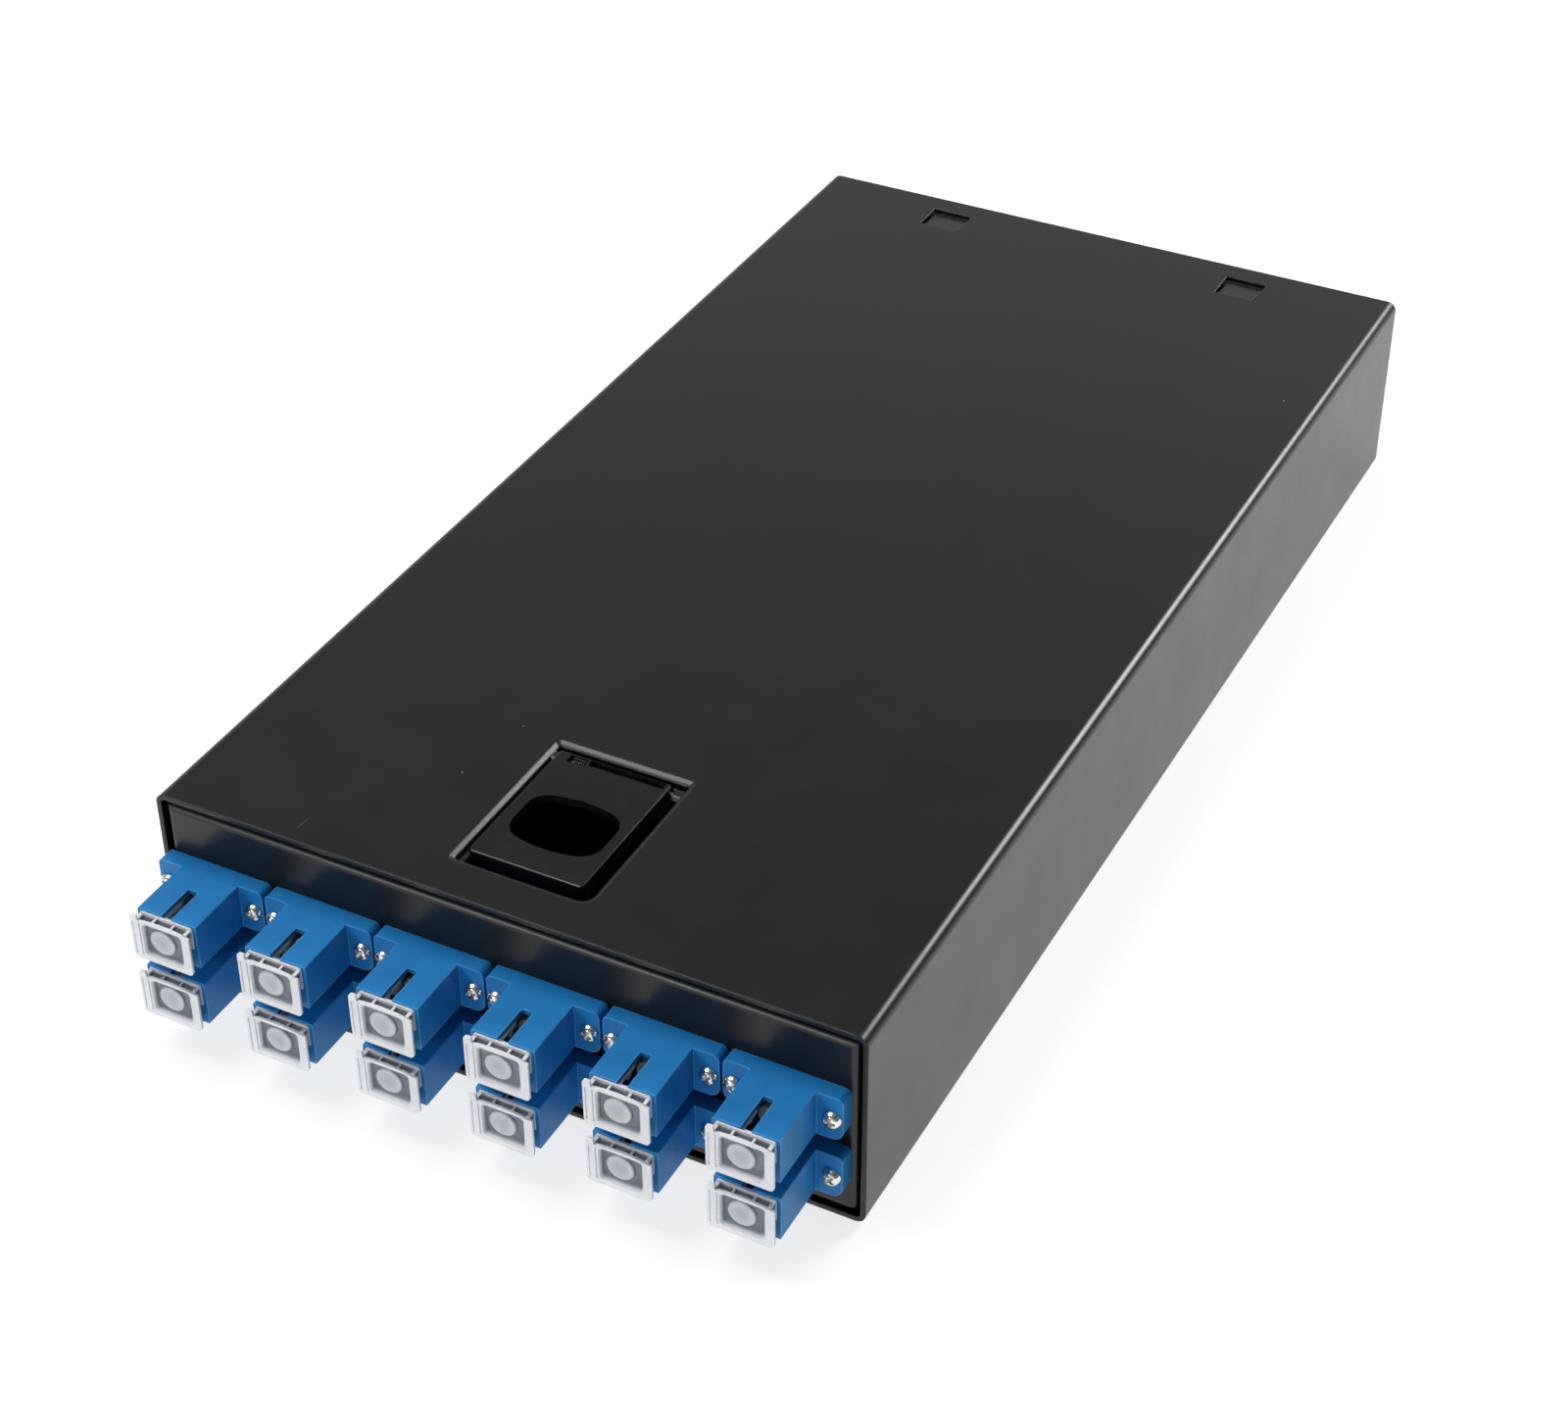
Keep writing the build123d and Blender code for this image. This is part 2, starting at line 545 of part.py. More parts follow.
mid = (rear_reach - front_reach) / 2
insert = bx(-port_w / 2, port_w / 2, mid - 1.0, mid + 1.0, -port_h / 2, port_h / 2)
insert += tube("y", mid - 5.9, mid + 5.9, 0, 0, 2.2, 1.66)
insert -= rod("y", mid - 7, mid + 7, 0, 0, 1.66)
for sx_ in (-1, 1):
    for sy_ in (-1, 1):
        arm = bx(sx_ * 3.3, sx_ * 4.1, mid, mid + sy_ * 7.6, -1.4, 1.4)
        tip = bx(sx_ * 2.8, sx_ * 4.1, mid + sy_ * 6.6, mid + sy_ * 7.6, -1.4, 1.4)
        insert += arm + tip
insert = one(insert, "insert")

ceramic = tube("y", mid - 5.7, mid + 5.7, 0, 0, 1.6, 1.25)
ceramic -= bx(-0.22, 0.22, mid - 7, mid + 7, 0, 3)
ceramic = one(ceramic, "ceramic")

screw = rod("y", -flange_t, -flange_t + shank_len, 0, 0, shank_d / 2)
head = rod("y", -flange_t - head_h, -flange_t, 0, 0, head_d / 2)
head = fillet(head.edges().group_by(Axis.Y)[0], 1.05)
screw = screw + head
for w, l in ((0.5, 2.1), (2.1, 0.5)):
    screw -= bx(-w / 2, w / 2, -flange_t - head_h - 1, -flange_t - head_h + 0.75, -l / 2, l / 2)
screw = one(screw, "screw")

# inner dust cap: hollow plug and a plain plate behind the adapter
ic = bx(-plug_w / 2, plug_w / 2, rear_reach - 5.6, rear_reach + 0.05, -plug_h / 2, plug_h / 2)
ic -= bx(-plug_w / 2 + 0.8, plug_w / 2 - 0.8, rear_reach - 7, rear_reach - 0.6, -plug_h / 2 + 0.8, plug_h / 2 - 0.8)
ic += bx(-6.1, 6.1, rear_reach + 0.0, rear_reach + 1.2, -4.4, 4.4)
ic += bx(-2.5, 2.5, rear_reach + 1.2, rear_reach + 3.2, -3.0, 3.0)
ic = one(ic, "inner_cap")

# front dust cap: lip against the adapter, waist, front plate with a dish, hollow plug
def ahead(p):
    return -front_reach - p


cap = bx(-5.5, 5.5, ahead(0.45), ahead(cap_gap), -4.0, 4.35)
waist = Plane.YZ * Polyline(
    (ahead(0.1), -3.9), (ahead(0.1), 2.4), (ahead(1.05), 2.4), (ahead(1.72), 3.5), (ahead(1.72), -3.9), close=True
)
waist = extrude(make_face(waist), amount=9.8)
cap += waist.moved(Location((-4.9 - waist.bounding_box().min.X, 0, 0)))
# front plate: the left end stands higher, the rest of its top edge is slightly arched
arch = Plane(origin=(0, ahead(1.7), 0), x_dir=(1, 0, 0), z_dir=(0, -1, 0))
outline = Wire(
    [
        Line((-6.35, -4.0), (-6.35, 4.2)), ThreePointArc((-6.35, 4.2), (-6.145, 4.695), (-5.65, 4.9)), Line((-5.65, 4.9), (-4.9, 4.9)),
        Line((-4.9, 4.9), (-4.75, 3.75)), ThreePointArc((-4.75, 3.75), (0.0, 4.15), (4.9, 3.75)), Line((4.9, 3.75), (6.1, 3.55)),
        Line((6.1, 3.55), (6.1, -4.0)), ThreePointArc((6.1, -4.0), (5.836, -4.636), (5.2, -4.9)), Line((5.2, -4.9), (-5.45, -4.9)),
        ThreePointArc((-5.45, -4.9), (-6.086, -4.636), (-6.35, -4.0)),
    ]
)
cap += extrude(arch * make_face(outline), amount=cap_plate)
# ribs between the lip and the plate, three open windows between them
for x0, x1 in ((-5.45, -4.7), (-2.1, -1.65), (1.75, 2.2), (4.75, 5.4)):
    cap += bx(x0, x1, ahead(1.75), ahead(0.4), 2.0, 4.0)
plug = bx(-plug_w / 2, plug_w / 2, ahead(0.1), ahead(cap_gap) + plug_len, -plug_h / 2, plug_h / 2)
plug = chamfer(plug.edges().group_by(Axis.Y)[-1], 0.3)
cap += plug
cap -= bx(-plug_w / 2 + 0.75, plug_w / 2 - 0.75, ahead(-0.6), ahead(-7.5), -plug_h / 2 + 0.75, plug_h / 2 - 0.75)
cap -= bx(-plug_w / 2 + 0.75, plug_w / 2 - 0.75, ahead(0.55), ahead(-1.0), -plug_h / 2 + 0.75, 1.7)
# slot in the plug's top wall, under the key slot of the port
cap -= bx(-1.05, 1.05, ahead(-0.9), ahead(-7.5), 1.5, 4.5)
# the lower right of the waist and lip is cut away
cap -= bx(4.55, 7.5, ahead(1.69), ahead(-0.3), -4.6, -0.2)
# dished front with a low round boss
dish = stack(
    [
        Plane(origin=(0, ahead(cap_front + 0.1), 0), x_dir=(1, 0, 0), z_dir=(0, -1, 0)) * Pos(0.25, -0.15) * RectangleRounded(8.5, 7.3, 0.9),
        Plane(origin=(0, ahead(1.35), 0), x_dir=(1, 0, 0), z_dir=(0, -1, 0)) * Pos(0.15, -0.1) * RectangleRounded(7.3, 5.6, 0.6),
    ]
)
cap -= dish
boss = rod("y", ahead(1.85), ahead(1.3), -0.1, 0.0, 2.7)
boss = fillet(boss.edges().group_by(Axis.Y)[0], 0.3)
cap += boss
# two upright grooves in the plate's left band
for x in (-5.75, -4.35):
    cap -= bx(x - 0.17, x + 0.17, ahead(cap_front + 0.1), ahead(cap_front - 0.2), -3.9, 3.3)
cap = one(cap, "cap")

screws, inserts, ceramics, inner_caps = [], [], [], []
for n, (x, z) in enumerate(ports, 1):
    loc = Location((x, panel_face, z))
    save(housing.moved(loc), "adapter_%02d" % n)
    save(cap.moved(loc), "dust_cap_%02d" % n)
    inserts.append(insert.moved(loc))
    ceramics.append(ceramic.moved(loc))
    inner_caps.append(ic.moved(loc))
    for s in (-1, 1):
        sl = Location((x + s * screw_x, panel_face, z), (0, 30 + 37 * n + 20 * s, 0))
        screws.append(screw.moved(sl))
save(grp(screws, "adapter_screws"), "adapter_screws")
save(grp(inserts, "adapter_inserts"), "adapter_inserts")
save(grp(ceramics, "alignment_sleeves"), "alignment_sleeves")
save(grp(inner_caps, "inner_dust_caps"), "inner_dust_caps")
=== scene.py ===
import json
import math

import bmesh
import bpy
from mathutils import Matrix, Vector


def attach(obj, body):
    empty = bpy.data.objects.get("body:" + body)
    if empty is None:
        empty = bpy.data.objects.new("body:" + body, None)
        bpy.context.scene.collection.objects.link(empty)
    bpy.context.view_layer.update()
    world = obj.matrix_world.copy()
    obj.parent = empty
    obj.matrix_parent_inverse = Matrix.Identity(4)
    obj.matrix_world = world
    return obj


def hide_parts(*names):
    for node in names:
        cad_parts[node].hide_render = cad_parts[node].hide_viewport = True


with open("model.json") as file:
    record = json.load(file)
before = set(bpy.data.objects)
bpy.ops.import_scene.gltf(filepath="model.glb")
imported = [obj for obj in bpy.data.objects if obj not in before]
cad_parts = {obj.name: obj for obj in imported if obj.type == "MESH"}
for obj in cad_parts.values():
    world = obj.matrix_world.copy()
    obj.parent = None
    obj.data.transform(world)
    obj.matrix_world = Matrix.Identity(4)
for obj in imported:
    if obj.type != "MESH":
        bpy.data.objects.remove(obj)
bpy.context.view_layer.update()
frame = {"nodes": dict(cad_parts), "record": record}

NODES = frame["nodes"]

# ---------------------------------------------------------------------------
# sizes shared with the construction, in millimetres
# ---------------------------------------------------------------------------
FRONT = -134.3
PANEL = FRONT + 0.1
XS = [-0.95 + (i - 2.5) * 22.78 for i in range(6)]
PORTS = [(x, z) for z in (25.05, 12.0) for x in XS]
BODY_W, BODY_H = 12.4, 9.3
FLANGE_W, FLANGE_T = 22.2, 3.1
REACH_F, REACH_R = 15.75, 12.65
PORT_W, PORT_H = 9.1, 7.5
SCREW_X = 9.15


# ---------------------------------------------------------------------------
# mesh helpers: everything is modelled in millimetres and scaled once
# ---------------------------------------------------------------------------
def raw(name, verts, faces):
    me = bpy.data.meshes.new(name)
    me.from_pydata([tuple(v) for v in verts], [], [tuple(f) for f in faces])
    ob = bpy.data.objects.new(name, me)
    bpy.context.scene.collection.objects.link(ob)
    bm = bmesh.new()
    bm.from_mesh(me)
    bmesh.ops.recalc_face_normals(bm, faces=bm.faces)
    bm.to_mesh(me)
    bm.free()
    return ob


def block(x0, x1, y0, y1, z0, z1):
    v = [(x, y, z) for x in (x0, x1) for y in (y0, y1) for z in (z0, z1)]
    f = [(0, 1, 3, 2), (4, 6, 7, 5), (0, 4, 5, 1), (2, 3, 7, 6), (0, 2, 6, 4), (1, 5, 7, 3)]
    return raw("block", v, f)


def round_pts(u0, u1, v0, v1, radii, seg=7):
    """Outline of a rounded rectangle, corners (u0,v0) (u1,v0) (u1,v1) (u0,v1)."""
    pts = []
    corners = [(u0, v0, 1, 1, 180), (u1, v0, -1, 1, 270), (u1, v1, -1, -1, 0), (u0, v1, 1, -1, 90)]
    for (cu, cv, su, sv, a0), r in zip(corners, radii):
        if r <= 0:
            pts.append((cu, cv))
            continue
        for i in range(seg + 1):
            a = math.radians(a0 + 90.0 * i / seg)
            pts.append((cu + su * r + r * math.cos(a), cv + sv * r + r * math.sin(a)))
    return pts


def prism(pts, axis, a0, a1):
    """Closed prism of an outline along an axis: outline is (x,z) for y, (x,y) for z, (y,z) for x."""
    put = {
        "y": lambda u, v, a: (u, a, v),
        "z": lambda u, v, a: (u, v, a),
        "x": lambda u, v, a: (a, u, v),
    }[axis]
    n = len(pts)
    v = [put(p[0], p[1], a0) for p in pts] + [put(p[0], p[1], a1) for p in pts]
    f = [tuple(range(n)), tuple(range(2 * n - 1, n - 1, -1))]
    f += [(i, (i + 1) % n, n + (i + 1) % n, n + i) for i in range(n)]
    return raw("prism", v, f)


def loft(rings):
    """Closed solid through rings of equal count."""
    n = len(rings[0])
    v = [p for r in rings for p in r]
    f = [tuple(range(n)), tuple(range(len(v) - 1, len(v) - n - 1, -1))]
    for k in range(len(rings) - 1):
        for i in range(n):
            j = (i + 1) % n
            f.append((k * n + i, k * n + j, (k + 1) * n + j, (k + 1) * n + i))
    return raw("loft", v, f)


def lathe(profile, centre=(0.0, 0.0), seg=40, axis="y", phase=0.0):
    """Solid of revolution about an axis through centre; profile is (radius, height), first and last on the axis."""
    cu, cv = centre
    verts, rows = [], []
    for r, h in profile:
        if r < 1e-6:
            rows.append([len(verts)])
            verts.append((cu, h, cv) if axis == "y" else (cu, cv, h))
        else:
            row = []
            for i in range(seg):
                a = 2 * math.pi * i / seg + phase
                u, w = cu + r * math.cos(a), cv + r * math.sin(a)
                row.append(len(verts))
                verts.append((u, h, w) if axis == "y" else (u, w, h))
            rows.append(row)
    faces = []
    for a, b in zip(rows, rows[1:]):
        for i in range(seg):
            j = (i + 1) % seg
            if len(a) == 1 and len(b) == 1:
                continue
            if len(a) == 1:
                faces.append((a[0], b[j], b[i]))
            elif len(b) == 1:
                faces.append((a[i], a[j], b[0]))
            else:
                faces.append((a[i], a[j], b[j], b[i]))
    return raw("lathe", verts, faces)


def bake_mods(ob):
    dg = bpy.context.evaluated_depsgraph_get()
    me = bpy.data.meshes.new_from_object(ob.evaluated_get(dg), depsgraph=dg)
    ob.modifiers.clear()
    ob.data = me
    return ob


def boolean(ob, tool, op):
    m = ob.modifiers.new("b", "BOOLEAN")
    m.operation = op
    m.solver = "EXACT"
    m.object = tool
    bake_mods(ob)
    bpy.data.objects.remove(tool)
    return ob


def cut(ob, tool):
    return boolean(ob, tool, "DIFFERENCE")


def add(ob, tool):
    return boolean(ob, tool, "UNION")


def tidy(ob, flat=0.4):
    """Weld, join coplanar faces, drop slivers."""
    bm = bmesh.new()
    bm.from_mesh(ob.data)
    bmesh.ops.remove_doubles(bm, verts=bm.verts, dist=0.0008)
    bmesh.ops.dissolve_limit(bm, angle_limit=math.radians(flat), verts=bm.verts, edges=bm.edges)
    bmesh.ops.dissolve_degenerate(bm, dist=0.0008, edges=bm.edges)
    bmesh.ops.recalc_face_normals(bm, faces=bm.faces)
    bm.to_mesh(ob.data)
    bm.free()
    return ob


def soften(ob, width, seg=3, angle=34.0, clamp=True):
    m = ob.modifiers.new("v", "BEVEL")
    m.width = width
    m.segments = seg
    m.limit_method = "ANGLE"
    m.angle_limit = math.radians(angle)
    m.use_clamp_overlap = clamp
    m.miter_outer = "MITER_ARC"
    m.harden_normals = False
    return bake_mods(ob)


def smooth(ob, angle=38.0):
    """Smooth shading, with sharp edges where faces meet at more than the angle."""
    me = ob.data
    for p in me.polygons:
        p.use_smooth = True
    bm = bmesh.new()
    bm.from_mesh(me)
    for e in bm.edges:
        e.smooth = not (len(e.link_faces) == 2 and e.calc_face_angle(0.0) > math.radians(angle))
    bm.to_mesh(me)
    bm.free()
    m = ob.modifiers.new("n", "WEIGHTED_NORMAL")
    m.keep_sharp = True
    m.weight = 60
    return bake_mods(ob)


def to_metres(ob):
    ob.data.transform(Matrix.Scale(0.001, 4))
    ob.data.update()
    return ob


def join(name, obs):
    """One mesh object from several, left in place."""
    bm = bmesh.new()
    for o in obs:
        me = o.data.copy()
        me.transform(o.matrix_world)
        bm.from_mesh(me)
        bpy.data.meshes.remove(me)
    me = bpy.data.meshes.new(name)
    bm.to_mesh(me)
    bm.free()
    for o in obs:
        bpy.data.objects.remove(o)
    ob = bpy.data.objects.new(name, me)
    bpy.context.scene.collection.objects.link(ob)
    return ob


# ---------------------------------------------------------------------------
# materials
# ---------------------------------------------------------------------------
class Mat:
    def __init__(self, name):
        self.m = bpy.data.materials.new(name)
        self.m.use_nodes = True
        self.nt = self.m.node_tree
        self.b = self.nt.nodes["Principled BSDF"]
        self.tc = self.nt.nodes.new("ShaderNodeTexCoord").outputs["Object"]

    def node(self, kind, **kw):
        n = self.nt.nodes.new(kind)
        for k, v in kw.items():
            setattr(n, k, v)
        return n

    def link(self, a, b):
        self.nt.links.new(a, b)

    def set(self, **kw):
        names = {
            "color": "Base Color", "rough": "Roughness", "metal": "Metallic", "spec": "Specular IOR Level",
            "ior": "IOR", "trans": "Transmission Weight", "coat": "Coat Weight", "coat_rough": "Coat Roughness",
            "sheen": "Sheen Weight", "sss": "Subsurface Weight", "sss_scale": "Subsurface Scale", "aniso": "Anisotropic",
        }
        for k, v in kw.items():
            self.b.inputs[names[k]].default_value = v

    def coords(self, scale=(1.0, 1.0, 1.0), rot=(0.0, 0.0, 0.0)):
        mp = self.node("ShaderNodeMapping")
        mp.inputs["Scale"].default_value = scale
        mp.inputs["Rotation"].default_value = rot
        self.link(self.tc, mp.inputs["Vector"])
        return mp.outputs["Vector"]

    def noise(self, scale, detail=2.0, rough=0.5, vec=None, distort=0.0):
        n = self.node("ShaderNodeTexNoise")
        n.inputs["Scale"].default_value = scale
        n.inputs["Detail"].default_value = detail
        n.inputs["Roughness"].default_value = rough
        n.inputs["Distortion"].default_value = distort
        self.link(vec or self.tc, n.inputs["Vector"])
        return n.outputs["Fac"]

    def remap(self, fac, lo, hi, a=0.3, b=0.7):
        n = self.node("ShaderNodeMapRange")
        n.inputs["From Min"].default_value = a
        n.inputs["From Max"].default_value = b
        n.inputs["To Min"].default_value = lo
        n.inputs["To Max"].default_value = hi
        self.link(fac, n.inputs["Value"])
        return n.outputs["Result"]

    def math(self, op, a, b=None):
        n = self.node("ShaderNodeMath", operation=op)
        for i, v in enumerate((a, b)):
            if v is None:
                continue
            if isinstance(v, (int, float)):
                n.inputs[i].default_value = v
            else:
                self.link(v, n.inputs[i])
        return n.outputs[0]

    def mix(self, fac, a, b):
        n = self.node("ShaderNodeMix", data_type="RGBA")
        for sock, v in ((n.inputs[0], fac), (n.inputs[6], a), (n.inputs[7], b)):
            if isinstance(v, (int, float)):
                sock.default_value = v
            elif isinstance(v, tuple):
                sock.default_value = (*v, 1.0)
            else:
                self.link(v, sock)
        return n.outputs[2]

    def bump(self, height, dist, strength=1.0, under=None):
        n = self.node("ShaderNodeBump")
        n.inputs["Strength"].default_value = strength
        n.inputs["Distance"].default_value = dist
        self.link(height, n.inputs["Height"])
        if under is not None:
            self.link(under, n.inputs["Normal"])
        return n.outputs["Normal"]

    def normal(self, n):
        self.link(n, self.b.inputs["Normal"])


def shade(c, k):
    return tuple(min(1.0, max(0.0, x * k)) for x in c)


def moulded(name, color, rough, tint=0.10, patch=90.0, grain=2600.0, depth=0.000012, wave=120.0, wave_depth=0.00002, rough_var=0.05, **kw):
    """Moulded or coated surface: slow colour drift, fine grain, slight waviness."""
    a = Mat(name)
    a.set(**kw)
    drift = a.remap(a.noise(patch, 4.0, 0.6), 0.0, 1.0)
    a.link(a.mix(drift, shade(color, 1 - tint), shade(color, 1 + tint)), a.b.inputs["Base Color"])
    fine = a.noise(grain, 3.0, 0.65)
    slow = a.noise(wave, 2.0, 0.5)
    n1 = a.bump(slow, wave_depth)
    a.normal(a.bump(fine, depth, under=n1))
    a.link(a.remap(a.noise(patch * 3.1, 3.0, 0.6), rough - rough_var, rough + rough_var), a.b.inputs["Roughness"])
    return a


def metal(name, color, rough, stretch=(1.0, 1.0, 30.0), scale=900.0, depth=0.000006, tint=0.08, rough_var=0.07, **kw):
    """Bare or plated metal with drawn or tumbled marks."""
    a = Mat(name)
    a.set(metal=1.0, **kw)
    vec = a.coords(scale=stretch)
    marks = a.noise(scale, 3.0, 0.6, vec)
    drift = a.remap(a.noise(260.0, 3.0, 0.6), 0.0, 1.0)
    a.link(a.mix(drift, shade(color, 1 - tint), shade(color, 1 + tint)), a.b.inputs["Base Color"])
    a.normal(a.bump(marks, depth))
    a.link(a.remap(marks, rough - rough_var, rough + rough_var), a.b.inputs["Roughness"])
    return a


def powder_coat(name, marks=False):
    a = Mat(name)
    a.set(spec=0.45)
    base = (0.0026, 0.0026, 0.0025)
    drift = a.remap(a.noise(26.0, 4.0, 0.6), 0.0, 1.0)
    fleck = a.remap(a.noise(5200.0, 2.0, 0.7), 0.0, 1.0, 0.35, 0.75)
    col = a.mix(drift, shade(base, 0.86), shade(base, 1.14))
    col = a.mix(a.math("MULTIPLY", fleck, 0.30), col, (0.0085, 0.0085, 0.0083))
    rough = a.remap(a.noise(70.0, 3.0, 0.55), 0.285, 0.325)
    if marks:
        # three dust specks and one fine scratch on the top
        total = None
        for x, y, r in ((-24.75, -104.66, 0.20), (-22.18, -88.09, 0.17), (61.88, 83.04, 0.24)):
            d = a.node("ShaderNodeVectorMath", operation="DISTANCE")
            a.link(a.tc, d.inputs[0])
            d.inputs[1].default_value = (x * 0.001, y * 0.001, 0.042)
            s = a.math("LESS_THAN", d.outputs["Value"], r * 0.001)
            total = s if total is None else a.math("ADD", total, s)
        mp = a.node("ShaderNodeMapping", vector_type="TEXTURE")
        mp.inputs["Location"].default_value = (-0.04195, -0.13128, 0.042)
        mp.inputs["Rotation"].default_value = (0.0, 0.0, math.atan2(3.27, 0.18))
        a.link(a.tc, mp.inputs["Vector"])
        sp = a.node("ShaderNodeSeparateXYZ")
        a.link(mp.outputs["Vector"], sp.inputs[0])
        inx = a.math("LESS_THAN", a.math("ABSOLUTE", a.math("SUBTRACT", sp.outputs[0], 0.00163)), 0.00163)
        iny = a.math("LESS_THAN", a.math("ABSOLUTE", sp.outputs[1]), 0.00006)
        inz = a.math("LESS_THAN", a.math("ABSOLUTE", sp.outputs[2]), 0.0005)
        line = a.math("MULTIPLY", a.math("MULTIPLY", inx, iny), inz)
        total = a.math("ADD", total, a.math("MULTIPLY", line, 0.45))
        total = a.math("MINIMUM", total, 1.0)
        col = a.mix(total, col, (0.115, 0.11, 0.10))
        rough = a.math("MINIMUM", a.math("ADD", rough, a.math("MULTIPLY", total, 0.4)), 1.0)
    a.link(col, a.b.inputs["Base Color"])
    a.link(rough, a.b.inputs["Roughness"])
    peel = a.noise(620.0, 2.0, 0.5)
    grain = a.noise(3600.0, 2.0, 0.6)
    # the coating rounds the cut edges of the sheet
    edge = a.node("ShaderNodeBevel")
    edge.samples = 4
    edge.inputs["Radius"].default_value = 0.00045
    n1 = a.bump(peel, 0.000010, under=edge.outputs["Normal"])
    a.normal(a.bump(grain, 0.0000035, under=n1))
    return a


M = {}
M["black_powder_coat"] = powder_coat("powder coat")
M["sleeve_coat"] = powder_coat("powder coat with dust", marks=True)
M["black_plastic"] = moulded("black plastic", (0.0024, 0.0026, 0.0031), 0.32, spec=0.38, rough_var=0.025, tint=0.12, patch=240.0, grain=4200.0, depth=0.000006, wave=300.0, wave_depth=0.000008)
flap_mat = M["black_plastic"]
sp = flap_mat.node("ShaderNodeSeparateXYZ")
flap_mat.link(flap_mat.tc, sp.inputs[0])
off = flap_mat.math("SUBTRACT", sp.outputs[1], (FRONT + 43.3) * 0.001)
crown = flap_mat.math("MULTIPLY", flap_mat.math("MULTIPLY", off, off), -1.0)
under = flap_mat.b.inputs["Normal"].links[0].from_node
top_bump = under.inputs["Normal"].links[0].from_node
flap_mat.link(flap_mat.bump(crown, 1.0), top_bump.inputs["Normal"])
M["gland_nylon"] = moulded("gland nylon", (0.016, 0.016, 0.017), 0.40, tint=0.10, patch=150.0, grain=3400.0, depth=0.000010)
M["gland_rubber"] = moulded("gland rubber", (0.022, 0.021, 0.020), 0.72, tint=0.18, patch=200.0, grain=2600.0, depth=0.00002, spec=0.35)
# painted light: the strike coat is much lighter than the sleeve coat, standing in for light on the strike top
M["strike_painted_light"] = moulded("strike coat with painted light", (0.040, 0.040, 0.041), 0.42, tint=0.22, patch=420.0, grain=4200.0, depth=0.000006, wave=300.0, wave_depth=0.000008, spec=0.4)
M["plain_steel"] = metal("plain steel", (0.060, 0.058, 0.056), 0.44, stretch=(1.0, 12.0, 12.0), scale=1500.0)
M["nickel_screw"] = metal("nickel plate", (0.80, 0.77, 0.73), 0.20, stretch=(1.0, 1.0, 1.0), scale=2600.0, depth=0.000010, tint=0.10, rough_var=0.08)
M["earth_brass"] = metal("earth nut brass", (0.71, 0.50, 0.20), 0.30, stretch=(1.0, 1.0, 14.0), scale=1500.0)
M["zinc_steel"] = metal("zinc plate", (0.58, 0.60, 0.62), 0.36, stretch=(1.0, 1.0, 1.0), scale=700.0, tint=0.16)
M["insert_white"] = moulded("insert white", (0.74, 0.74, 0.71), 0.44, tint=0.05, patch=300.0, grain=3000.0)
M["zirconia"] = moulded("zirconia", (0.84, 0.83, 0.80), 0.16, tint=0.03, patch=500.0, grain=6000.0, depth=0.000003, wave=600.0, wave_depth=0.000003)
M["cap_white"] = moulded("inner cap white", (0.78, 0.79, 0.79), 0.40, tint=0.04, patch=300.0, grain=3000.0, sss=0.15, sss_scale=0.0006)
M["cassette_grey"] = moulded("cassette grey", (0.44, 0.45, 0.45), 0.46, tint=0.05, patch=60.0, grain=2200.0, depth=0.000016)


def adapter_blue():
    a = Mat("adapter blue")
    a.set(spec=0.30)
    base = (0.0072, 0.180, 0.475)
    drift = a.remap(a.noise(170.0, 3.0, 0.55), 0.0, 1.0)
    col = a.mix(drift, shade(base, 0.93), shade(base, 1.07))
    speck = a.remap(a.noise(4200.0, 2.0, 0.7), 0.0, 1.0, 0.50, 0.80)
    col = a.mix(a.math("MULTIPLY", speck, 0.30), col, (0.018, 0.23, 0.56))
    # painted highlight: the moulded edges are lightened along the bevel, standing in for light catching them
    edge = a.node("ShaderNodeBevel")
    edge.samples = 4
    edge.inputs["Radius"].default_value = 0.00036
    geo = a.node("ShaderNodeNewGeometry")
    dot = a.node("ShaderNodeVectorMath", operation="DOT_PRODUCT")
    a.link(edge.outputs["Normal"], dot.inputs[0])
    a.link(geo.outputs["True Normal"], dot.inputs[1])
    painted_edge_highlight = a.remap(dot.outputs["Value"], 0.80, 0.0, 0.86, 0.992)
    col = a.mix(painted_edge_highlight, col, (0.12, 0.42, 0.74))
    a.link(col, a.b.inputs["Base Color"])
    a.link(a.remap(a.noise(420.0, 3.0, 0.6), 0.40, 0.50), a.b.inputs["Roughness"])
    n1 = a.bump(a.noise(380.0, 2.0, 0.5), 0.000014)
    a.normal(a.bump(a.noise(3800.0, 3.0, 0.65), 0.000010, under=n1))
    return a


